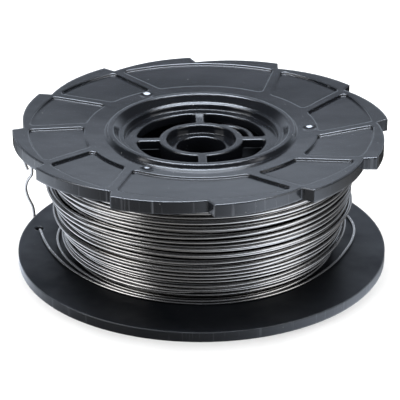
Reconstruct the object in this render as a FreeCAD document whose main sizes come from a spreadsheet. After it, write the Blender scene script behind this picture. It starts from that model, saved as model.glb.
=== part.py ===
import FreeCAD, Part
import math
import os
import re
import Sketcher
from FreeCAD import Rotation, Vector

# Reel of binding wire: two moulded halves that meet inside the winding, a toothed flange on top,
# a plain flange below, and the wire between them.
# The reel's axis is Z. The origin is on the floor, at the middle of the plain flange's face.

document = FreeCAD.newDocument("BindingWireReel")
sheet = document.addObject("Spreadsheet::Sheet", "Sizes")

# Driving dimensions, in millimetres and degrees
SIZES = {
    # Flanges and the space that they leave for the wire
    "flange_radius": 50.0,
    "toothed_rim": 3.4,
    "plain_rim": 2.7,
    "winding_gap": 31.7,
    "toothed_dish": 1.8,
    "plain_dish": 1.1,
    "plain_land": 3.0,
    # Saw teeth round the upper flange
    "tooth_count": 12,
    "tooth_depth": 3.1,
    "tooth_phase": 2.1,
    "tooth_lag": 1.8,
    "flank_radius": 38.0,
    # Collar, ledge and web inside it, the same on both faces, each from the one outside it
    "collar_radius": 25.6,
    "collar_draft": 0.8,
    "collar_wall": 1.4,
    "collar_slope": 1.6,
    "toothed_collar_rise": 1.1,
    "plain_collar_rise": 0.8,
    "ledge_width": 1.2,
    "ledge_drop": 2.0,
    "step_draft": 0.2,
    "step_drop": 1.5,
    "web_thickness": 2.5,
    # Four windows between the spokes
    "web_rim": 3.0,
    "window_corner": 1.4,
    "spoke_width": 2.2,
    "spoke_count": 4,
    # Hub ring, its counterbore and the tube below
    "hub_ring": 11.1,
    "hub_wall": 1.8,
    "counterbore_drop": 2.3,
    "hub_floor": 2.0,
    "tube_wall": 2.2,
    "bore_radius": 6.6,
    # Curved wall in one window that holds the wire's inner end
    "anchor_across": 5.4,
    "anchor_back": 1.1,
    "anchor_radius": 8.6,
    "anchor_wall": 1.2,
    "anchor_start": -5.0,
    "anchor_sweep": 95.0,
    # Barrel that the wire is wound on
    "barrel_radius": 26.5,
    "barrel_wall": 2.3,
    # Recessed panels in the upper flange's face and the ribs between them
    "panel_rim": 4.4,
    "panel_depth": 0.5,
    "panel_corner": 1.2,
    "ring_width": 5.5,
    "rib_width": 2.6,
    "rib_offset": 11.6,
    "rib_angle": 74.5,
    "rib_step": 30.0,
    "ribs_a_side": 5,
    # Shallow round marks between the collar and the panels
    "mark_inset": 3.1,
    "mark_sphere": 4.0,
    "mark_depth": 0.45,
    "mark_count": 3,
    # Winding
    "wire_diameter": 0.8,
    "coil_clearance": 0.05,
    "coil_bottom_radius": 35.4,
    "coil_top_radius": 40.4,
    "coil_swell": 0.75,
    "turn_count": 12,
    "turn_groove": 1.0,
    # Outer end of the wire, from the last turn to its hook outside the plain rim
    "tail_start_angle": 268.5,
    "tail_hole_inset": 4.0,
    "tail_hole_angle": 167.3,
    "tail_hole_bore": 1.25,
    "tail_clearance": 0.1,
    "tail_exit_gap": 0.8,
    "tail_exit_angle": 157.2,
    "span_count": 9,
    "notch_width": 1.5,
    "notch_depth": 1.1,
    "hook_reach": 2.7,
    "hook_height": 21.0,
    "wire_flats": 6,
    # How far a cutter runs past the face that it cuts
    "cutter_overrun": 1.0,
}

for row, (alias, number) in enumerate(SIZES.items(), start=1):
    sheet.set(f"A{row}", alias)
    sheet.set(f"B{row}", str(number))
    sheet.setAlias(f"B{row}", alias)
document.recompute()


def size(alias):
    """The sheet's value of one driving dimension."""
    return float(sheet.get(alias))


def worked_out(formula):
    """The value of a formula of the driving dimensions."""
    return float(sheet.evalExpression(bind(formula)))


def bind(formula):
    """A formula in plain size names, as an expression that reads the sheet."""
    return re.sub(r"[a-z]+(?:_[a-z]+)+", lambda word: f"Sizes.{word.group()}", formula)


# Heights, radii and slopes that several pieces share, as formulas of the driving dimensions
TOOTHED_UNDER = "plain_rim + winding_gap"
TOOTHED_TOP = f"({TOOTHED_UNDER} + toothed_rim)"
MIDDLE = "plain_rim + winding_gap / 2"
TOOTHED_FACE = f"({TOOTHED_TOP} - toothed_dish)"
TOOTHED_COLLAR = f"({TOOTHED_FACE} + toothed_collar_rise)"
TOOTHED_WEB = f"({TOOTHED_COLLAR} - ledge_drop - step_drop)"
PLAIN_COLLAR = "(plain_dish - plain_collar_rise)"
FACE_SLOPE = "toothed_dish / (flange_radius - collar_radius)"
ROOT_RADIUS = "(flange_radius - tooth_depth)"
CLEAR_RADIUS = "((flange_radius + cutter_overrun) / cos(180 / tooth_count))"
LEDGE_OUTER = "(collar_radius - collar_draft - collar_wall - collar_slope)"
STEP_BOTTOM = f"({LEDGE_OUTER} - ledge_width - step_draft)"
WINDOW_OUTER = f"({STEP_BOTTOM} - web_rim)"
PANEL_INNER = "(collar_radius + ring_width)"
PANEL_OUTER = "(flange_radius - panel_rim)"

# The hook at the wire's end: shares of its reach beyond the rim and of its height
HOOK = ((0.07, 0.22), (0.4, 0.3), (0.75, 0.39), (0.9, 0.5), (0.6, 0.62), (0.0, 0.71),
        (0.05, 0.83), (0.25, 1.0), (1.0, 0.99), (0.85, 0.86), (0.5, 0.77))

# Two points nearer than this, in millimetres, are the same point
NEAR = 1e-4


def origin_plane(body, role):
    return next(item for item in body.Origin.OriginFeatures if item.Role == role)


def new_sketch(body, name, role):
    sketch = body.newObject("Sketcher::SketchObject", name)
    sketch.AttachmentSupport = (origin_plane(body, role), [""])
    sketch.MapMode = "FlatFace"
    return sketch


def hold(sketch, kind, *places, formula, start=1.0):
    """Add one dimension and tie it to the sheet."""
    number = sketch.addConstraint(Sketcher.Constraint(kind, *places, start))
    sketch.setExpression(f"Constraints[{number}]", bind(formula))


def closed_outline(sketch, corners):
    """Straight-sided outline through corners that are pairs of formulas, from a rough ring of points."""
    count = len(corners)
    away = size("flange_radius")
    rough = []
    for index in range(count):
        turn = 2 * math.pi * index / count
        rough.append(Vector(away + away / 3 * math.cos(turn), away + away / 3 * math.sin(turn), 0))
    for index in range(count):
        sketch.addGeometry(Part.LineSegment(rough[index], rough[(index + 1) % count]))
    for index, (across, up) in enumerate(corners):
        sketch.addConstraint(Sketcher.Constraint("Coincident", index, 2, (index + 1) % count, 1))
        hold(sketch, "DistanceX", -1, 1, index, 1, formula=across)
        hold(sketch, "DistanceY", -1, 1, index, 1, formula=up)


def turned(body, name, corners, sweep="360"):
    """Solid of revolution about Z from an outline in the XZ plane."""
    sketch = new_sketch(body, name + "Section", "XZ_Plane")
    closed_outline(sketch, corners)
    revolution = body.newObject("PartDesign::Revolution", name)
    revolution.Profile = sketch
    revolution.ReferenceAxis = (sketch, ["V_Axis"])
    revolution.setExpression("Angle", bind(sweep))
    return revolution


def cut_round(body, name, corners):
    """Cut a full turn about Z from an outline in the XZ plane."""
    document.recompute()
    before = body.Shape.Volume
    sketch = new_sketch(body, name + "Section", "XZ_Plane")
    closed_outline(sketch, corners)
    groove = body.newObject("PartDesign::Groove", name)
    groove.Profile = sketch
    groove.ReferenceAxis = (sketch, ["V_Axis"])
    document.recompute()
    if not body.Shape.Volume < before:
        raise RuntimeError(f"{name} removed nothing")


def cut_upward(body, name, sketch):
    """Cut everything above a sketch in the XY plane."""
    document.recompute()
    before = body.Shape.Volume
    pocket = body.newObject("PartDesign::Pocket", name)
    pocket.Profile = sketch
    pocket.Type = "ThroughAll"
    pocket.Reversed = True
    document.recompute()
    if not body.Shape.Volume < before:
        raise RuntimeError(f"{name} removed nothing")
    return pocket


def around_axis(body, name, feature, sketch, count, angle="360", backwards=False):
    """Repeat a feature about Z."""
    pattern = body.newObject("PartDesign::PolarPattern", name)
    pattern.Originals = [feature]
    pattern.Axis = (sketch, ["N_Axis"])
    pattern.Reversed = backwards
    pattern.setExpression("Angle", bind(angle))
    pattern.setExpression("Occurrences", bind(count))
    body.Tip = pattern
    return pattern


def round_uprights(body, name, radius, least=0.0):
    """Round the upright edges of a body that lie at least so far from the axis."""
    document.recompute()
    corners = []
    for number, edge in enumerate(body.Shape.Edges, start=1):
        ends = [vertex.Point for vertex in edge.Vertexes]
        if len(ends) != 2 or (ends[0] - ends[1]).cross(Vector(0, 0, 1)).Length > NEAR:
            continue
        between_faces = len(body.Shape.ancestorsOfType(edge, Part.Face)) == 2
        if between_faces and all(math.hypot(end.x, end.y) > least for end in ends):
            corners.append(f"Edge{number}")
    cut_so_far = body.Tip
    rounding = body.newObject("PartDesign::Fillet", name)
    rounding.Base = (cut_so_far, corners)
    rounding.setExpression("Radius", bind(radius))
    body.Tip = rounding


def join_corners(sketch, joins):
    """Join line and arc ends, each given as geometry, end, geometry, end."""
    for join in joins:
        sketch.addConstraint(Sketcher.Constraint("Coincident", *join))


def cut_windows(body, name):
    """Kidney windows between parallel-sided spokes, with rounded outer corners."""
    half = size("spoke_width") / 2
    inner = size("hub_ring")
    outer = worked_out(WINDOW_OUTER)
    inner_reach = math.sqrt(inner ** 2 - half ** 2)
    outer_reach = math.sqrt(outer ** 2 - half ** 2)
    sketch = new_sketch(body, name + "Sketch", "XY_Plane")
    centre = Vector(0, 0, 0)
    up = Vector(0, 0, 1)
    low = math.asin(half / outer)
    low_inner = math.asin(half / inner)
    sketch.addGeometry(Part.ArcOfCircle(Part.Circle(centre, up, outer), low, math.pi / 2 - low))
    sketch.addGeometry(Part.LineSegment(Vector(half, outer_reach, 0), Vector(half, inner_reach, 0)))
    sketch.addGeometry(Part.ArcOfCircle(Part.Circle(centre, up, inner), low_inner, math.pi / 2 - low_inner))
    sketch.addGeometry(Part.LineSegment(Vector(inner_reach, half, 0), Vector(outer_reach, half, 0)))
    join_corners(sketch, [(0, 2, 1, 1), (1, 2, 2, 2), (2, 1, 3, 1), (3, 2, 0, 1)])
    join_corners(sketch, [(0, 3, -1, 1), (2, 3, -1, 1)])
    sketch.addConstraint(Sketcher.Constraint("Vertical", 1))
    sketch.addConstraint(Sketcher.Constraint("Horizontal", 3))
    hold(sketch, "Radius", 0, formula=WINDOW_OUTER, start=outer)
    hold(sketch, "Radius", 2, formula="hub_ring", start=inner)
    hold(sketch, "DistanceX", -1, 1, 1, 1, formula="spoke_width / 2", start=half)
    hold(sketch, "DistanceY", -1, 1, 3, 1, formula="spoke_width / 2", start=half)
    pocket = cut_upward(body, name, sketch)
    around_axis(body, name + "Round", pocket, sketch, "spoke_count")
    round_uprights(body, name + "Corners", "window_corner", least=outer - NEAR)


def half_reel(name, upper):
    """One moulding: flange, half of the barrel, collar, web, spokes and half of the hub."""
    sign = "-" if upper else "+"
    rim_face = TOOTHED_TOP if upper else "0"
    rim_back = TOOTHED_UNDER if upper else "plain_rim"
    face = TOOTHED_FACE if upper else "plain_dish"
    collar = TOOTHED_COLLAR if upper else PLAIN_COLLAR
    ledge = f"{collar} {sign} ledge_drop"
    web = f"{ledge} {sign} step_drop"
    web_back = f"{web} {sign} web_thickness"
    floor = f"{web} {sign} counterbore_drop"
    floor_back = f"{floor} {sign} hub_floor"
    land = [] if upper else [("flange_radius - plain_land", rim_face)]
    body = document.addObject("PartDesign::Body", name)
    turned(body, name + "Turned", [
        ("bore_radius", MIDDLE),
        ("bore_radius", floor),
        ("hub_ring - hub_wall", floor),
        ("hub_ring - hub_wall", web),
        (STEP_BOTTOM, web),
        (f"{LEDGE_OUTER} - ledge_width", ledge),
        (LEDGE_OUTER, ledge),
        (f"{LEDGE_OUTER} + collar_slope", collar),
        ("collar_radius - collar_draft", collar),
        ("collar_radius", face),
        *land,
        ("flange_radius", rim_face),
        ("flange_radius", rim_back),
        ("barrel_radius", rim_back),
        ("barrel_radius", MIDDLE),
        ("barrel_radius - barrel_wall", MIDDLE),
        ("barrel_radius - barrel_wall", web_back),
        ("hub_ring", web_back),
        ("hub_ring", floor_back),
        ("bore_radius + tube_wall", floor_back),
        ("bore_radius + tube_wall", MIDDLE),
    ])
    document.recompute()
    cut_windows(body, name + "Windows")
    return body


def cut_teeth(body):
    """Saw teeth: each gap is a steep face and a rising curved flank."""
    tip = size("flange_radius")
    clear = worked_out(CLEAR_RADIUS)
    next_angle = size("tooth_phase")
    tip_angle = next_angle + 360 / size("tooth_count")
    root_point = at(worked_out(ROOT_RADIUS), tip_angle - size("tooth_lag"))
    next_tip = at(tip, next_angle)
    chord = next_tip - root_point
    outward = Vector(-chord.y, chord.x, 0).normalize()
    if outward.dot(root_point) < 0:
        outward = -outward
    flank = size("flank_radius")
    rise = flank - math.sqrt(flank ** 2 - (chord.Length / 2) ** 2)
    crown = root_point + chord / 2 + outward * rise
    outline = [next_tip, root_point, at(tip, tip_angle), at(clear, tip_angle), at(clear, next_angle)]
    sketch = new_sketch(body, "ToothGap", "XY_Plane")
    sketch.addGeometry(Part.Arc(next_tip, crown, root_point))
    for index in range(1, len(outline)):
        sketch.addGeometry(Part.LineSegment(outline[index], outline[(index + 1) % len(outline)]))
    join_corners(sketch, [(0, 2, 1, 1), (1, 2, 2, 1), (2, 2, 3, 1), (3, 2, 4, 1), (4, 2, 0, 1)])
    tip_text = "(tooth_phase + 360 / tooth_count)"
    places = [
        (1, 1, ROOT_RADIUS, f"({tip_text} - tooth_lag)"),
        (2, 1, "flange_radius", tip_text),
        (3, 1, CLEAR_RADIUS, tip_text),
        (4, 1, CLEAR_RADIUS, "(tooth_phase * 1)"),
        (4, 2, "flange_radius", "(tooth_phase * 1)"),
    ]
    for (line, end, radius, angle), point in zip(places, outline[1:] + outline[:1]):
        hold(sketch, "DistanceX", -1, 1, line, end, formula=f"{radius} * cos{angle}", start=point.x)
        hold(sketch, "DistanceY", -1, 1, line, end, formula=f"{radius} * sin{angle}", start=point.y)
    hold(sketch, "Radius", 0, formula="flank_radius", start=flank)
    pocket = cut_upward(body, "ToothGapCut", sketch)
    around_axis(body, "ToothRing", pocket, sketch, "tooth_count")
    document.recompute()


def wire_anchor():
    """Curved wall from the hub ring to a spoke, across one window's corner."""
    body = document.addObject("PartDesign::Body", "WireAnchor")
    back = f"{TOOTHED_WEB} - web_thickness"
    turned(body, "AnchorWall", [
        ("anchor_radius - anchor_wall", back),
        ("anchor_radius", back),
        ("anchor_radius", TOOTHED_WEB),
        ("anchor_radius - anchor_wall", TOOTHED_WEB),
    ], "anchor_sweep")
    body.setExpression("Placement.Base.x", bind("anchor_across"))
    body.setExpression("Placement.Base.y", bind("anchor_back"))
    body.setExpression("Placement.Rotation.Angle", bind("anchor_start * 1"))
    return body


def panel_cutter():
    """What the panels take out of the upper face: a ring less its ribs, on a floor that follows the dish."""
    body = document.addObject("PartDesign::Body", "PanelCutter")

    def floor_at(radius):
        return f"{TOOTHED_FACE} + ({radius} - collar_radius) * {FACE_SLOPE} - panel_depth"

    bottom = f"({floor_at(PANEL_INNER)} - cutter_overrun)"
    top = f"({TOOTHED_TOP} + cutter_overrun)"
    turned(body, "PanelRing", [
        (PANEL_INNER, bottom),
        (PANEL_OUTER, bottom),
        (PANEL_OUTER, top),
        (PANEL_INNER, top),
    ])
    spread = "rib_step * (ribs_a_side - 1)"
    near_end = f"({PANEL_INNER} / 2)"
    far_end = "(flange_radius * 1)"
    for side in (0, 180):
        angle = f"(rib_angle + {side})"
        sketch = new_sketch(body, f"Rib{side}", "XY_Plane")
        corners = []
        for along, half in ((near_end, "-"), (far_end, "-"), (far_end, "+"), (near_end, "+")):
            across = f"(rib_offset {half} rib_width / 2)"
            corners.append((f"{along} * cos{angle} + {across} * sin{angle}",
                            f"{along} * sin{angle} - {across} * cos{angle}"))
        closed_outline(sketch, corners)
        pocket = cut_upward(body, f"Rib{side}Cut", sketch)
        around_axis(body, f"Rib{side}Row", pocket, sketch, "ribs_a_side", spread, backwards=True)
    round_uprights(body, "PanelCorners", "panel_corner")
    inner = f"({PANEL_INNER} - cutter_overrun)"
    outer = f"({PANEL_OUTER} + cutter_overrun)"
    cut_round(body, "PanelFloor", [
        (inner, f"{bottom} - cutter_overrun"),
        (outer, f"{bottom} - cutter_overrun"),
        (outer, floor_at(outer)),
        (inner, floor_at(inner)),
    ])
    return body


def cut_away(base, tools, label):
    """Cut several tools out of one solid, one after another."""
    result = base
    for tool in tools:
        cut = document.addObject("Part::Cut", f"{label}_cut")
        cut.Base = result
        cut.Tool = tool
        result = cut
    result.Label = label
    return result


def round_marks():
    """Shallow lens-shaped marks on the ring between the collar and the panels."""
    marks = []
    circle = "(collar_radius + mark_inset)"
    height = f"{TOOTHED_FACE} + mark_inset * {FACE_SLOPE} + mark_sphere - mark_depth"
    for index in range(int(size("mark_count"))):
        ball = document.addObject("Part::Sphere", f"Mark{index}")
        ball.setExpression("Radius", bind("mark_sphere"))
        angle = f"(360 / mark_count * {index})"
        ball.setExpression("Placement.Base.x", bind(f"{circle} * cos{angle}"))
        ball.setExpression("Placement.Base.y", bind(f"{circle} * sin{angle}"))
        ball.setExpression("Placement.Base.z", bind(height))
        marks.append(ball)
    return marks


def tail_passage():
    """Hole for the wire's outer end, and the notch that leads it out under the plain rim."""
    hole = document.addObject("Part::Cylinder", "TailHole")
    hole.setExpression("Radius", bind("tail_hole_bore"))
    hole.setExpression("Height", bind("plain_rim + 2 * cutter_overrun"))
    hole_x = "(flange_radius - tail_hole_inset) * cos(tail_hole_angle * 1)"
    hole_y = "(flange_radius - tail_hole_inset) * sin(tail_hole_angle * 1)"
    exit_x = "(flange_radius + tail_exit_gap) * cos(tail_exit_angle * 1)"
    exit_y = "(flange_radius + tail_exit_gap) * sin(tail_exit_angle * 1)"
    hole.setExpression("Placement.Base.x", bind(hole_x))
    hole.setExpression("Placement.Base.y", bind(hole_y))
    hole.setExpression("Placement.Base.z", bind("-cutter_overrun"))
    heading = f"atan2({exit_y} - {hole_y}; {exit_x} - {hole_x})"
    notch = document.addObject("Part::Box", "TailNotch")
    notch.setExpression("Length", bind(f"sqrt(({exit_x} - {hole_x}) ^ 2 + ({exit_y} - {hole_y}) ^ 2)"))
    notch.setExpression("Width", bind("notch_width"))
    notch.setExpression("Height", bind("notch_depth + cutter_overrun"))
    notch.setExpression("Placement.Rotation.Angle", bind(heading))
    notch.setExpression("Placement.Base.x", bind(f"{hole_x} + notch_width / 2 * sin({heading})"))
    notch.setExpression("Placement.Base.y", bind(f"{hole_y} - notch_width / 2 * cos({heading})"))
    notch.setExpression("Placement.Base.z", bind("-cutter_overrun"))
    return [hole, notch]


def wound_coil(label):
    """The winding as one turned solid, with a ridge for each pair of turns that show."""
    body = document.addObject("PartDesign::Body", label)
    rows = int(size("turn_count"))
    bottom = "(plain_rim + coil_clearance)"
    top = "(plain_rim + winding_gap - coil_clearance)"
    bore = "barrel_radius + coil_clearance"

    def ring(share, groove=""):
        swell = f"(coil_top_radius - coil_bottom_radius) * sin(90 * min(1; {share} / coil_swell))"
        return f"coil_bottom_radius + {swell} {groove}", f"{bottom} + {share} * ({top} - {bottom})"

    corners = [(bore, bottom)]
    for row in range(rows):
        corners.append(ring(row / rows, "- turn_groove"))
        corners.append(ring((row + 0.5) / rows))
    corners.append(ring(1, "- turn_groove"))
    corners.append((bore, top))
    turned(body, "Turns", corners)
    return body


def at(radius, angle, height=0.0):
    turn = math.radians(angle)
    return Vector(radius * math.cos(turn), radius * math.sin(turn), height)


def bent_wire(label, route):
    """Wire along straight runs joined by arcs as large as the runs allow, with flats for its round."""
    edges = []
    start = route[0]
    share_of_run = 0.4
    for before, corner, after in zip(route, route[1:], route[2:]):
        inward = (before - corner).normalize()
        onward = (after - corner).normalize()
        half_turn = (math.pi - inward.getAngle(onward)) / 2
        reach = share_of_run * min(before.distanceToPoint(corner), after.distanceToPoint(corner))
        radius = reach / math.tan(half_turn)
        first = corner + inward * reach
        last = corner + onward * reach
        middle = corner + (inward + onward).normalize() * (radius / math.cos(half_turn) - radius)
        edges.append(Part.makeLine(start, first))
        edges.append(Part.Arc(first, middle, last).toShape())
        start = last
    edges.append(Part.makeLine(start, route[-1]))
    path = Part.Wire(edges)
    flats = int(size("wire_flats"))
    level = (route[1] - route[0]).normalize().cross(Vector(0, 0, 1))
    ring = []
    for index in range(flats):
        turn = 2 * math.pi * (index + 0.5) / flats
        offset = level * math.cos(turn) + Vector(0, 0, 1) * math.sin(turn)
        ring.append(route[0] + offset * size("wire_diameter") / 2)
    solid = path.makePipeShell([Part.makePolygon(ring + ring[:1])], True, False)
    print(label, "length", round(path.Length, 1), "volume", round(solid.Volume, 2))
    return solid


def tail_route():
    """From the last turn, out over the plain flange, through its hole and notch, up to the hook."""
    wire = size("wire_diameter") / 2
    lying = size("plain_rim") + wire
    under = size("notch_depth") - wire - size("tail_clearance")
    start = size("coil_bottom_radius") + wire + size("coil_clearance")
    hole = size("flange_radius") - size("tail_hole_inset")
    sweep = size("tail_hole_angle") - size("tail_start_angle")
    spans = int(size("span_count"))
    route = []
    for index in range(spans):
        share = index / spans
        radius = start + (hole - start) * share ** 3
        route.append(at(radius, size("tail_start_angle") + sweep * share, lying))
    route.append(at(hole, size("tail_hole_angle"), lying))
    route.append(at(hole, size("tail_hole_angle"), under))
    leave = size("flange_radius") + size("tail_exit_gap")
    angle = size("tail_exit_angle")
    route.append(at(leave, angle, under))
    for outward, height in HOOK:
        route.append(at(leave + outward * size("hook_reach"), angle, height * size("hook_height")))
    return route


def feature(label, shape):
    """A node whose shape is worked out here from the sheet's sizes."""
    item = document.addObject("Part::Feature", label)
    item.Shape = shape
    item.Label = label
    item.Placement = FreeCAD.Placement(Vector(0, 0, 0), Rotation(0, 0, 0))
    return item


upper_body = half_reel("UpperHalf", True)
cut_teeth(upper_body)
upper_half = document.addObject("Part::Fuse", "UpperHalfWithAnchor")
upper_half.Base = upper_body
upper_half.Tool = wire_anchor()
lower_body = half_reel("LowerHalf", False)
toothed_flange = cut_away(upper_half, [panel_cutter()] + round_marks(), "toothed_flange")
plain_flange = cut_away(lower_body, tail_passage(), "plain_flange")
wire_coil = wound_coil("wire_coil")
wire_tail = feature("wire_tail", bent_wire("wire_tail", tail_route()))
nodes = [toothed_flange, plain_flange, wire_coil, wire_tail]
document.recompute()

for item in document.Objects:
    if "Invalid" in item.State or "Error" in item.State:
        raise RuntimeError(f"{item.Label} failed: {item.State}")
for node in nodes:
    if node.Shape.isNull() or not node.Shape.isValid():
        raise RuntimeError(f"{node.Label} has no valid shape")
    print(node.Label, "solids", len(node.Shape.Solids), "volume", round(node.Shape.Volume, 1))

os.makedirs("parts", exist_ok=True)
for node in nodes:
    node.Shape.exportStep(os.path.join("parts", f"{node.Label}.step"))
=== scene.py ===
import math

import bpy
import numpy as np
from mathutils import Matrix, Vector


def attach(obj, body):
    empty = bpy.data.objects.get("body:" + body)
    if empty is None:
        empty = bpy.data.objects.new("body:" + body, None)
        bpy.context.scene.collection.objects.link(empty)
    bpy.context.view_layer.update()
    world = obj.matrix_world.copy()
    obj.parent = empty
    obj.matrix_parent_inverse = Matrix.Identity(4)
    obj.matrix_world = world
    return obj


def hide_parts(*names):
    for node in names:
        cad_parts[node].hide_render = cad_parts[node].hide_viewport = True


# Reel of binding wire: looks for the two moulded halves, and real wire in place of the turned coil.
# The reel's sizes and the camera's place are in millimetres, the studio's sizes in metres.

MM = 0.001
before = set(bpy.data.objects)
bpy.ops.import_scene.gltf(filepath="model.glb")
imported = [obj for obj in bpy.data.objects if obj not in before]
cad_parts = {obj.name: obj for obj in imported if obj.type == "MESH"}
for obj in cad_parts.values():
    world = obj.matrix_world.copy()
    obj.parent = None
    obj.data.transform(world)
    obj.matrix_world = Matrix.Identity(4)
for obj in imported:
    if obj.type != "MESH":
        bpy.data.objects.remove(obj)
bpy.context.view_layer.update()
scene = bpy.context.scene

# Sizes that the model shares with this script
WIRE = 0.8
PLAIN_FACE = 2.7
TOOTHED_FACE = 34.4
BARREL = 26.5
COIL_BOTTOM = 35.4
COIL_TOP = 40.4
COIL_SWELL = 0.75
TAIL_START_ANGLE = 268.5
TAIL_HOLE_RADIUS = 46.0
TAIL_HOLE_ANGLE = 167.3
TAIL_UNDER = 0.6
TAIL_EXIT_RADIUS = 50.8
TAIL_EXIT_ANGLE = 157.2
TAIL_SPANS = 9
HOOK_REACH = 2.7
HOOK_HEIGHT = 21.0

# Points along the hook, as shares of its reach and of its height
HOOK = (
    (0.07, 0.22), (0.4, 0.3), (0.75, 0.39), (0.9, 0.5), (0.6, 0.62), (0.0, 0.71),
    (0.05, 0.83), (0.25, 1.0), (1.0, 0.99), (0.85, 0.86), (0.5, 0.77),
)

# Height of a wire's middle when it lies on the lower flange, and where its end leaves the winding
LYING = PLAIN_FACE + WIRE / 2
TAIL_START = COIL_BOTTOM + WIRE / 2 + 0.05


def at(radius, angle, height):
    """Point at a distance from the axis, an angle in degrees and a height."""
    turn = math.radians(angle)
    return (radius * math.cos(turn), radius * math.sin(turn), height)


def link(item):
    scene.collection.objects.link(item)
    return item


# Camera

LENS = 158.6
SENSOR = 36.0
CAMERA_ELEVATION = 25.341
CAMERA_HEADING = -1.5
CAMERA_ROLL = -0.225
CAMERA_PLACE = (-0.36, -431.6, 219.9)


def place_camera():
    data = bpy.data.cameras.new("camera")
    data.lens = LENS
    data.sensor_width = SENSOR
    data.clip_start = 0.01
    data.clip_end = 20.0
    camera = link(bpy.data.objects.new("camera", data))
    heading = Matrix.Rotation(math.radians(CAMERA_HEADING), 4, "Z")
    tilt = Matrix.Rotation(math.radians(90 - CAMERA_ELEVATION), 4, "X")
    roll = Matrix.Rotation(math.radians(CAMERA_ROLL), 4, "Z")
    place = heading @ Vector([value * MM for value in CAMERA_PLACE])
    camera.matrix_world = Matrix.Translation(place) @ heading @ tilt @ roll
    scene.camera = camera


place_camera()


# Materials

class Nodes:
    """Short calls for one node tree."""

    def __init__(self, tree):
        self.tree = tree

    def add(self, kind, **values):
        """A node with its settings and plain inputs. In an input's name, an underscore is a space."""
        node = self.tree.nodes.new(kind)
        for name, value in values.items():
            if hasattr(node, name):
                setattr(node, name, value)
            else:
                node.inputs[name.replace("_", " ")].default_value = value
        return node

    def join(self, source, target):
        self.tree.links.new(source, target)

    def feed(self, value, target):
        """Link an output to an input, or set the input to plain numbers."""
        if isinstance(value, bpy.types.NodeSocket):
            self.join(value, target)
        else:
            target.default_value = value

    def ramp(self, source, low, high, from_low=0.0, from_high=1.0, smooth=False):
        """Map a factor to a range of numbers."""
        shape = "SMOOTHSTEP" if smooth else "LINEAR"
        node = self.add("ShaderNodeMapRange", interpolation_type=shape, From_Min=from_low,
                        From_Max=from_high, To_Min=low, To_Max=high)
        self.join(source, node.inputs["Value"])
        return node.outputs["Result"]

    def combine(self, operation, *values):
        """Work on numbers, each an output or a plain number."""
        node = self.add("ShaderNodeMath", operation=operation)
        for value, target in zip(values, node.inputs):
            self.feed(value, target)
        return node.outputs[0]

    def measure(self, operation, *values):
        """Length or dot product of directions, each an output or plain numbers."""
        node = self.add("ShaderNodeVectorMath", operation=operation)
        for value, target in zip(values, node.inputs):
            self.feed(value, target)
        return node.outputs["Value"]

    def part(self, source, axis):
        """One coordinate of a place or direction."""
        node = self.add("ShaderNodeSeparateXYZ")
        self.join(source, node.inputs[0])
        return node.outputs[axis]

    def mix(self, factor, first, second):
        """Mix two colours, each an output or three plain numbers."""
        node = self.add("ShaderNodeMix", data_type="RGBA")
        self.join(factor, node.inputs[0])
        for value, target in ((first, node.inputs[6]), (second, node.inputs[7])):
            self.feed((*value, 1.0) if isinstance(value, tuple) else value, target)
        return node.outputs[2]

    def noise(self, place, scale, detail=2.0):
        """Noise over a place, as a factor."""
        node = self.add("ShaderNodeTexNoise", Scale=scale, Detail=detail)
        self.join(place, node.inputs["Vector"])
        return node.outputs["Fac"]

    def stretched(self, place, scale):
        node = self.add("ShaderNodeMapping", Scale=scale)
        self.join(place, node.inputs["Vector"])
        return node.outputs["Vector"]

    def open_air(self, distance):
        """Share of open air round a point, within a distance in millimetres."""
        return self.add("ShaderNodeAmbientOcclusion", samples=8, Distance=distance * MM).outputs["AO"]

    def relief(self, heights, normal, strength, depth):
        """Normal of a surface that stands up to a depth in millimetres above another."""
        node = self.add("ShaderNodeBump", Strength=strength, Distance=depth * MM)
        self.join(heights, node.inputs["Height"])
        self.join(normal, node.inputs["Normal"])
        return node.outputs["Normal"]


def new_material(name):
    """A material, its nodes and its shader."""
    material = bpy.data.materials.new(name)
    material.use_nodes = True
    nodes = Nodes(material.node_tree)
    return material, nodes, material.node_tree.nodes["Principled BSDF"].inputs


# Colours of the moulding: clean, clouded, rubbed on the rims, scuffs with a painted highlight on edges, and
# in specks
BLACK = (0.006, 0.007, 0.009)
CLOUDED = (0.009, 0.01, 0.0125)
RUBBED = (0.07, 0.075, 0.085)
SCUFF_AND_EDGE_HIGHLIGHT = (0.1, 0.11, 0.125)
SPECK = (0.2, 0.2, 0.2)

# Where the moulding is worn and its edges carry a painted highlight, by distance from the axis, and where
# dull turns to shiny, by height
WEAR_AND_HIGHLIGHT_RADII = (44 * MM, 46 * MM)
DULL_TO_SHINY = (10 * MM, 30 * MM)


def moulded_colour(n, place, outside, rubbed, rounded, normal):
    """Black, with clouds, specks, rub marks, and on the outer edges scuffs with a painted highlight."""
    # Scuffs and painted highlight: outer convex edges are lightened in colour, partly as wear and partly
    # standing in for light catching them.
    turning = n.ramp(n.measure("DOT_PRODUCT", rounded, normal), 1.0, 0.0, 0.75, 0.97)
    edge = n.combine("MULTIPLY", turning, n.ramp(n.open_air(1.0), 0.0, 1.0, 0.75, 0.95))
    broken = n.combine("MULTIPLY", outside, n.ramp(n.noise(place, 300.0, 3.0), 0.2, 1.0))
    scuffs_and_highlight = n.combine("MULTIPLY", edge, broken)
    specks = n.ramp(n.noise(place, 1500.0, 1.0), 0.0, 1.0, 0.79, 0.83)
    body = n.mix(n.ramp(n.noise(place, 55.0, 4.0), 0.0, 1.0, 0.3, 0.7), BLACK, CLOUDED)
    return n.mix(specks, n.mix(scuffs_and_highlight, n.mix(rubbed, body, RUBBED), SCUFF_AND_EDGE_HIGHLIGHT), SPECK)


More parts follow.
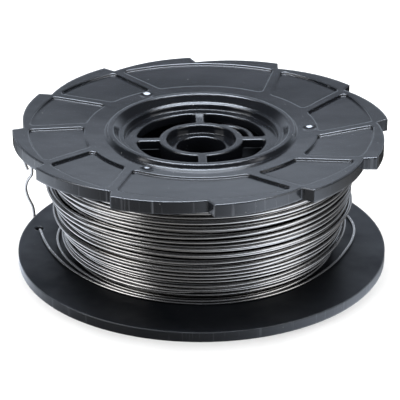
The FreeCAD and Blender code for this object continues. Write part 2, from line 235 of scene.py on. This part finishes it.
def moulded_shine(n, place, upright):
    """Strength of the mirror image: more with height and on upright walls, in mottles and patches."""
    height = n.part(place, "Z")
    by_height = n.ramp(height, 0.12, 0.47, *DULL_TO_SHINY)
    low_down = n.ramp(height, 0.2, 0.0, *DULL_TO_SHINY)
    mottled = n.combine("MULTIPLY", low_down, n.ramp(n.noise(place, 75.0, 5.0), -0.3, 0.3, 0.35, 0.65))
    walls = n.combine("MULTIPLY", upright, 0.4)
    level = n.combine("MAXIMUM", n.combine("ADD", by_height, mottled), walls)
    patches = n.ramp(n.noise(place, 28.0, 3.0), 0.8, 1.15, 0.35, 0.65)
    return n.combine("MULTIPLY", level, patches)


def moulded_roughness(n, place, rubbed):
    """Roughness: slightly uneven, and more low down and in the rub marks."""
    uneven = n.ramp(n.noise(place, 14.0), 0.12, 0.18, 0.3, 0.7)
    low_down = n.ramp(n.part(place, "Z"), 0.2, 0.0, *DULL_TO_SHINY)
    return n.combine("ADD", uneven, n.combine("MAXIMUM", low_down, n.combine("MULTIPLY", rubbed, 0.2)))


def plastic():
    """Glossy black moulding, slightly wavy: grain, specks, rub marks on the rims, and duller low down."""
    material, n, shader = new_material("black_plastic")
    place = n.add("ShaderNodeTexCoord").outputs["Object"]
    normal = n.add("ShaderNodeNewGeometry").outputs["Normal"]
    rounded = n.add("ShaderNodeBevel", samples=8, Radius=0.75 * MM).outputs["Normal"]
    upright = n.ramp(n.combine("ABSOLUTE", n.part(normal, "Z")), 1.0, 0.0, 0.15, 0.4)
    outside = n.ramp(n.measure("LENGTH", n.stretched(place, (1.0, 1.0, 0.0))), 0.0, 1.0, *WEAR_AND_HIGHLIGHT_RADII)
    rubs = n.ramp(n.noise(n.stretched(place, (900.0, 900.0, 40.0)), 1.0, 4.0), 0.0, 1.0, 0.6, 0.74)
    rubbed = n.combine("MULTIPLY", rubs, n.combine("MULTIPLY", upright, outside))
    wavy = n.relief(n.noise(place, 85.0), rounded, 1.0, 0.16)
    grained = n.relief(n.noise(place, 2600.0, 3.0), wavy, 0.1, 0.03)
    n.join(moulded_colour(n, place, outside, rubbed, rounded, normal), shader["Base Color"])
    n.join(moulded_roughness(n, place, rubbed), shader["Roughness"])
    n.join(moulded_shine(n, place, upright), shader["Specular IOR Level"])
    n.join(grained, shader["Normal"])
    shader["IOR"].default_value = 1.5
    shader["Specular Tint"].default_value = (0.95, 0.97, 1.0, 1.0)
    return material


# Colours of the wire: its two clean tones, dull oxide, and painted shade in the gaps between turns
CLEAN_STEEL = ((0.39, 0.378, 0.368), (0.47, 0.458, 0.446))
OXIDE = (0.3, 0.29, 0.28)
GAP_PAINTED_SHADE = (0.03, 0.026, 0.022)


def steel():
    """Drawn steel wire: lengthwise die lines, patches of dull oxide, a satin shine and painted shade in the
    gaps.
    """
    material, n, shader = new_material("steel_wire")
    place = n.add("ShaderNodeTexCoord").outputs["Object"]
    along = n.add("ShaderNodeTexCoord").outputs["UV"]
    lines = n.noise(n.stretched(along, (6.0, 3.0, 1.0)), 2.0, 1.0)
    clean = n.mix(n.ramp(lines, 0.0, 1.0, 0.3, 0.7), *CLEAN_STEEL)
    patchy = n.mix(n.ramp(n.noise(place, 60.0, 3.0), 0.0, 1.0, 0.6, 0.8), clean, OXIDE)
    # Painted shade: the colour darkens towards near black where little open air is round the wire, in the
    # gaps between turns.
    n.join(n.mix(n.ramp(n.open_air(1.6), 0.0, 1.0, 0.25, 0.6), GAP_PAINTED_SHADE, patchy), shader["Base Color"])
    n.join(n.ramp(lines, 0.22, 0.28, 0.3, 0.7), shader["Roughness"])
    shader["Metallic"].default_value = 1.0
    return material


PLASTIC = plastic()
STEEL = steel()


def dress(piece, material):
    piece.data.materials.clear()
    piece.data.materials.append(material)


def stand_in(piece, node):
    """Dress a piece as steel wire and put it in a node's place."""
    dress(piece, STEEL)
    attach(piece, "root")
    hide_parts(node)


for node in ("toothed_flange", "plain_flange"):
    dress(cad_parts[node], PLASTIC)


# Winding: three layers of turns over a turned bulk, laid in a loop from flange to flange

STATIONS = 160
STEP = 360 / STATIONS
BULK_DEPTH = 2.2
LOOSE_ROOM = 2.0
RNG = np.random.default_rng(7)

# Wander of the turns: how many waves are added up, and the slowest, in waves a turn
WAVES = 7
SLOWEST_WAVE = 0.2

# How far a taut wire bridges a dip, settles after a step and sinks in at a layer's end, in stations
BRIDGED = 5
SETTLED = 12.0
SUNK = 3.0

# Layers from the inside out: name, sides of the tube, whether it is wound upwards, pitch,
# size of its wander, its fastest wave, and room left below for the loose turns
LAYERS = (
    ("winding_deep", 6, False, 0.83, 0.02, 1.5, 0.0),
    ("winding_middle", 6, True, 0.98, 0.16, 1.7, 0.0),
    ("winding_outer", 10, False, 1.4, 0.5, 1.4, LOOSE_ROOM),
)

# The last turns lie loose. From the wire's end back: angle, distance from the axis, and height
LOOSE_TURNS = (
    (TAIL_START_ANGLE, TAIL_START, LYING),
    (290, 35.9, 3.1), (303, 36.1, 3.1), (315, 36.4, 3.1), (328, 37.0, 3.1),
    (338, 38.0, 3.1), (349, 39.4, 3.1), (358, 41.1, 3.1), (370, 43.3, 3.1), (390, 44.0, 3.1),
    (420, 43.2, 3.1), (450, 41.5, 3.15), (480, 40.2, 3.3), (510, 39.6, 3.6), (535, 39.6, 3.9),
    (554, 38.2, 4.0), (566, 37.2, 4.0), (588, 36.3, 3.95), (612, 35.9, 3.9), (640, 35.9, 3.95),
)


def round_wire(name, points, sides):
    """Tube along a line that runs round the axis, with its girth and length as texture coordinates.

    Its two end caps have corners of their own, so that the tube's shading stays straight up to its ends.
    """
    count = len(points)
    heading = np.gradient(points, axis=0)
    heading /= np.linalg.norm(heading, axis=1)[:, None]
    outward = points * (1, 1, 0)
    upward = np.cross(outward, heading)
    upward /= np.linalg.norm(upward, axis=1)[:, None]
    outward = np.cross(heading, upward)
    turn = 2 * np.pi * np.arange(sides) / sides
    ring = outward[:, None] * np.cos(turn)[None, :, None] + upward[:, None] * np.sin(turn)[None, :, None]
    corners = (points[:, None] + ring * WIRE / 2).reshape(-1, 3) * MM
    station = np.arange(count - 1)[:, None] * sides
    here = np.arange(sides)[None, :]
    after = (here + 1) % sides
    quads = np.stack([station + here, station + sides + here, station + sides + after, station + after], 2)
    corners = np.concatenate([corners, corners[:sides], corners[-sides:]])
    rims = np.arange(count * sides, (count + 2) * sides).reshape(2, sides)
    caps = [rims[0].tolist(), rims[1][::-1].tolist()]
    mesh = bpy.data.meshes.new(name)
    mesh.from_pydata(corners.tolist(), [], quads.reshape(-1, 4).tolist() + caps)
    gone = np.concatenate([[0.0], np.cumsum(np.linalg.norm(np.diff(points, axis=0), axis=1))]) * MM
    grid = np.zeros((count - 1, sides, 4, 2))
    grid[..., 0] = np.stack([here, here, here + 1, here + 1], 2) / sides
    grid[..., 1] = np.stack([gone[:-1], gone[1:], gone[1:], gone[:-1]], 1)[:, None, :]
    layer = mesh.uv_layers.new(name="girth_and_length")
    layer.data.foreach_set("uv", np.concatenate([grid.reshape(-1), np.zeros(4 * sides)]))
    mesh.polygons.foreach_set("use_smooth", [True] * (len(mesh.polygons) - 2) + [False, False])
    mesh.update()
    return link(bpy.data.objects.new(name, mesh))


def coil_profile(height):
    """Radius of the winding's outside at a height, as in the turned coil."""
    share = (height - PLAIN_FACE) / (TOOTHED_FACE - PLAIN_FACE)
    swell = np.sin(np.pi / 2 * np.clip(share / COIL_SWELL, 0.0, 1.0))
    return COIL_BOTTOM + (COIL_TOP - COIL_BOTTOM) * swell


def drift(count, size, fastest):
    """Smooth seeded wander along a run of stations."""
    angle = 2 * np.pi * np.arange(count) / STATIONS
    total = np.zeros(count)
    for _ in range(WAVES):
        total += np.sin(angle * RNG.uniform(SLOWEST_WAVE, fastest) + RNG.uniform(0, 2 * np.pi))
    return total * size / math.sqrt(WAVES / 2)


def bridged(values, reach):
    """Largest value nearby, then smoothed, so that a taut wire bridges the dips below it."""
    window = np.lib.stride_tricks.sliding_window_view(np.pad(values, reach, mode="edge"), 2 * reach + 1)
    padded = np.pad(window.max(axis=1), reach, mode="edge")
    weights = np.hanning(2 * reach + 3)[1:-1]
    return np.convolve(padded, weights / weights.sum(), mode="valid")


def laid_on(placed, heights):
    """Radius at each station of a layer that is wound, turn by turn, on the turns placed before it."""
    radii = np.zeros_like(heights)
    for first in range(0, len(heights), STATIONS):
        low = heights[first:first + STATIONS]
        rest = coil_profile(low) - BULK_DEPTH + WIRE / 2
        for other_height, other_radius in placed:
            gap = np.abs(low - other_height[:len(low)])
            over = other_radius[:len(low)] + np.sqrt(np.clip(WIRE ** 2 - gap ** 2, 0, None))
            rest = np.where(gap < WIRE, np.maximum(rest, over), rest)
        rest = bridged(rest, BRIDGED)
        if first:
            rest = rest + (radii[first - 1] - rest[0]) * np.exp(-np.arange(len(rest)) / SETTLED)
        radii[first:first + STATIONS] = rest
        if len(low) == STATIONS:
            placed.append((low, rest))
    return radii


def run_of_heights(going_up, pitch, wander, fastest, room_below):
    """Height at each station of one layer, from flange to flange."""
    bottom = LYING + room_below
    top = TOOTHED_FACE - WIRE / 2
    count = int((top - bottom) / pitch * STATIONS)
    ends = (bottom, top) if going_up else (top, bottom)
    heights = np.linspace(*ends, count) + drift(count, wander, fastest)
    return np.clip(heights, bottom, top)


def smooth_through(places, values, wanted):
    """Curve through points, each with the slope between its neighbours."""
    slopes = np.gradient(values, places)
    index = np.clip(np.searchsorted(places, wanted, side="right") - 1, 0, len(places) - 2)
    span = places[index + 1] - places[index]
    share = (wanted - places[index]) / span
    rise = 2 * share ** 3 - 3 * share ** 2
    return ((rise + 1) * values[index] - rise * values[index + 1]
            + (share ** 3 - 2 * share ** 2 + share) * span * slopes[index]
            + (share ** 3 - share ** 2) * span * slopes[index + 1])


def with_loose_turns(heights, radii):
    """Add the loose turns to the end of the outer layer, led over to them in a third of a turn."""
    join_stations = STATIONS // 3
    places, far, high = np.array(LOOSE_TURNS).T
    loose = int((places[-1] - places[0]) / STEP)
    back = places[0] + STEP * np.arange(loose)[::-1]
    joint = np.arange(1, join_stations + 1) / (join_stations + 1)
    ease = joint ** 2 * (3 - 2 * joint)
    loose_high = smooth_through(places, high, back)
    loose_far = smooth_through(places, far, back)
    high_joint = heights[-1] + (loose_high[0] - heights[-1]) * ease
    far_joint = radii[-1] + (loose_far[0] - radii[-1]) * ease
    return np.concatenate([heights, high_joint, loose_high]), np.concatenate([radii, far_joint, loose_far])


def round_the_axis(heights, radii, end_angle):
    """Points of a run that turns clockwise from above and ends at an angle."""
    angle = np.radians(end_angle + STEP * np.arange(len(heights))[::-1])
    return np.stack([radii * np.cos(angle), radii * np.sin(angle), heights], 1)


def tucked(radii, both_ends):
    """Let a layer's start, and its end, sink into the turns below."""
    sink = 1.5 * WIRE * np.exp(-np.arange(len(radii)) / SUNK)
    return radii - sink - (sink[::-1] if both_ends else 0.0)


def build_winding():
    """Lay the layers one on another, and turn them so that the outer one ends at the wire's end."""
    placed = []
    runs = []
    for name, _, *manner in LAYERS:
        outermost = name == LAYERS[-1][0]
        heights = run_of_heights(*manner)
        radii = tucked(laid_on(placed, heights), not outermost)
        runs.append(with_loose_turns(heights, radii) if outermost else (heights, radii))
    longest = len(runs[-1][0])
    for (name, sides, *_), (heights, radii) in zip(LAYERS, runs):
        end_angle = TAIL_START_ANGLE + STEP * (longest - len(heights))
        stand_in(round_wire(name, round_the_axis(heights, radii, end_angle), sides), "wire_coil")


def turned_core():
    """Closed ring that fills the winding below its deep layer."""
    rows = 12
    sides = 96
    inset = 0.35
    gap = 0.1
    heights = np.linspace(PLAIN_FACE + gap, TOOTHED_FACE - gap, rows)
    outside = coil_profile(heights) - BULK_DEPTH + inset
    section = list(zip(outside, heights))
    section += [(BARREL + gap, heights[-1]), (BARREL + gap, heights[0])]
    corners = []
    faces = []
    for side in range(sides):
        for radius, height in section:
            corners.append([value * MM for value in at(radius, 360 * side / sides, height)])
        here = side * len(section)
        there = (side + 1) % sides * len(section)
        for row in range(len(section)):
            after = (row + 1) % len(section)
            faces.append([here + row, there + row, there + after, here + after])
    mesh = bpy.data.meshes.new("winding_core")
    mesh.from_pydata(corners, [], faces)
    return link(bpy.data.objects.new("winding_core", mesh))


build_winding()
stand_in(turned_core(), "wire_coil")


# The wire's outer end: over the lower flange, through its hole, up outside the rim to a hook

# It starts thin inside the winding's last turn and has its full girth 0.1 mm on: the degrees of the
# two points before its true start, and its girth at the first of them as a share of the full one
THIN_START = (0.16, 0.08)
THIN = 0.1


def tail_route():
    """Route of the wire's end, from the winding to the tip of the hook."""
    route = [at(TAIL_START, TAIL_START_ANGLE + before, LYING) for before in THIN_START]
    for index in range(TAIL_SPANS):
        share = index / TAIL_SPANS
        radius = TAIL_START + (TAIL_HOLE_RADIUS - TAIL_START) * share ** 3
        route.append(at(radius, TAIL_START_ANGLE + (TAIL_HOLE_ANGLE - TAIL_START_ANGLE) * share, LYING))
    route.append(at(TAIL_HOLE_RADIUS, TAIL_HOLE_ANGLE, LYING))
    route.append(at(TAIL_HOLE_RADIUS, TAIL_HOLE_ANGLE, TAIL_UNDER))
    route.append(at(TAIL_EXIT_RADIUS, TAIL_EXIT_ANGLE, TAIL_UNDER))
    for outward, height in HOOK:
        route.append(at(TAIL_EXIT_RADIUS + outward * HOOK_REACH, TAIL_EXIT_ANGLE, height * HOOK_HEIGHT))
    return route


def smooth_wire(name, route):
    """Round wire on one smooth curve, with a thin start."""
    curve = bpy.data.curves.new(name, "CURVE")
    curve.dimensions = "3D"
    spline = curve.splines.new("NURBS")
    spline.points.add(len(route) - 1)
    for point, place in zip(spline.points, route):
        point.co = (*[value * MM for value in place], 1.0)
    spline.points[0].radius = THIN
    spline.order_u = 3
    spline.use_endpoint_u = True
    spline.resolution_u = 10
    curve.bevel_depth = WIRE / 2 * MM
    curve.bevel_resolution = 4
    curve.use_fill_caps = True
    return link(bpy.data.objects.new(name, curve))


stand_in(smooth_wire("wire_end", tail_route()), "wire_tail")


# Floor and light

FLOOR_HALF = 1.0
FLOOR_SHADE = 0.8
FLOOR_SEEN = 0.95

# Painted reflection, what the reel mirrors of the floor in place of its lit shade: its shade in front and
# behind, how it falls off backwards, and two glowing lobes, with their directions from the axis, longer
# where brighter, and their narrowness
FLOOR_MIRRORED = 0.25
FLOOR_BEHIND = 0.03
FLOOR_FALL = (-0.1, 0.5)
FLOOR_LOBES = ((-1.1, -0.1, 0.0), (0.77, -0.82, 0.0))
LOBE_POWER = 8.0

# The world's even fill, and what the reel mirrors of it: dim all round, a band low behind it and a
# panel above it
WORLD_FILL = 0.4
GLOSS_DIM = 0.12
GLOSS_BACK = 1.05
GLOSS_ABOVE = 25.0
GLOSS_TINT = (0.83, 0.92, 1.06)
BAND_START = (0.45, 0.85)
BAND_TOP = (0.2, 0.75)
ABOVE = (0.0, 0.26, 0.966)
ABOVE_EDGE = (0.91, 0.95)

# Softboxes: name, degrees round from the camera's side, elevation, distance, width, height, brightness
CAMERA_SIDE = -90
SOFTBOXES = (
    ("left_box", -66, 24, 1.0, 0.55, 0.5, 4.6),
    ("right_box", 62, 24, 1.0, 0.65, 0.5, 2.7),
    ("top_box", 180, 78, 1.3, 1.1, 0.8, 9.0),
)


def white_floor():
    """Pale floor. Its painted reflection: the reel mirrors it glowing bright at the left and the front
    right, and dark behind.
    """
    mesh = bpy.data.meshes.new("floor")
    signs = ((-1, -1), (1, -1), (1, 1), (-1, 1))
    corners = [(FLOOR_HALF * x, FLOOR_HALF * y, 0) for x, y in signs]
    mesh.from_pydata(corners, [], [(0, 1, 2, 3)])
    floor = link(bpy.data.objects.new("floor", mesh))
    material, n, shader = new_material("floor")
    path = n.add("ShaderNodeLightPath").outputs
    place = n.add("ShaderNodeNewGeometry").outputs["Position"]
    unit = n.add("ShaderNodeVectorMath", operation="NORMALIZE")
    n.join(place, unit.inputs[0])
    outward = unit.outputs["Vector"]
    # Painted reflection: reflected rays see the floor in another shade, darker behind the reel.
    behind = n.ramp(n.part(outward, "Y"), 0.0, 1.0, *FLOOR_FALL)
    mirror = n.mix(behind, (FLOOR_MIRRORED,) * 3, (FLOOR_BEHIND,) * 3)
    lit = n.mix(path["Is Glossy Ray"], (FLOOR_SHADE,) * 3, mirror)
    n.join(n.mix(path["Is Camera Ray"], lit, (FLOOR_SEEN,) * 3), shader["Base Color"])
    # Painted reflection: the floor glows in two lobes, seen only in reflections.
    lobes = []
    for direction in FLOOR_LOBES:
        facing = n.combine("MAXIMUM", n.measure("DOT_PRODUCT", outward, direction), 0.0)
        lobes.append(n.combine("POWER", facing, LOBE_POWER))
    glow = n.combine("MULTIPLY", n.combine("ADD", *lobes), path["Is Glossy Ray"])
    n.join(glow, shader["Emission Strength"])
    shader["Emission Color"].default_value = (*GLOSS_TINT, 1.0)
    shader["Roughness"].default_value = 0.9
    shader["Specular IOR Level"].default_value = 0.0
    floor.data.materials.append(material)


def studio_world():
    """White backdrop, an even fill, and for reflections a band low behind the reel and a panel above it."""
    world = bpy.data.worlds.new("studio")
    world.use_nodes = True
    scene.world = world
    n = Nodes(world.node_tree)
    path = n.add("ShaderNodeLightPath").outputs
    direction = n.add("ShaderNodeTexCoord").outputs["Generated"]
    overhead = n.measure("DOT_PRODUCT", direction, ABOVE)
    panel = n.ramp(overhead, 0.0, GLOSS_ABOVE, *ABOVE_EDGE, smooth=True)
    behind = n.ramp(n.part(direction, "Y"), 0.0, 1.0, *BAND_START, smooth=True)
    low_down = n.ramp(n.part(direction, "Z"), 1.0, 0.0, *BAND_TOP, smooth=True)
    band = n.combine("MULTIPLY", behind, low_down)
    gloss = n.combine("ADD", n.ramp(band, GLOSS_DIM, GLOSS_BACK), panel)
    straight = n.combine("MAXIMUM", path["Is Camera Ray"], path["Is Transmission Ray"])
    reflected = n.combine("MULTIPLY", path["Is Glossy Ray"], n.combine("SUBTRACT", gloss, WORLD_FILL))
    level = n.combine("MAXIMUM", n.combine("ADD", reflected, WORLD_FILL), straight)
    background = world.node_tree.nodes["Background"].inputs
    n.join(n.mix(path["Is Glossy Ray"], (1.0, 1.0, 1.0), GLOSS_TINT), background["Color"])
    n.join(level, background["Strength"])


def softbox(name, azimuth, elevation, distance, wide, high, brightness):
    """Rectangular lamp that faces the reel; its brightness is what a mirror would show of it."""
    data = bpy.data.lights.new(name, "AREA")
    data.shape = "RECTANGLE"
    data.size = wide
    data.size_y = high
    data.energy = brightness * math.pi * wide * high
    lamp = link(bpy.data.objects.new(name, data))
    up = math.radians(elevation)
    lamp.location = at(distance * math.cos(up), CAMERA_SIDE + azimuth, distance * math.sin(up))
    lamp.rotation_euler = lamp.location.to_track_quat("Z", "Y").to_euler()


white_floor()
studio_world()
for box in SOFTBOXES:
    softbox(*box)

scene.view_settings.view_transform = "Standard"
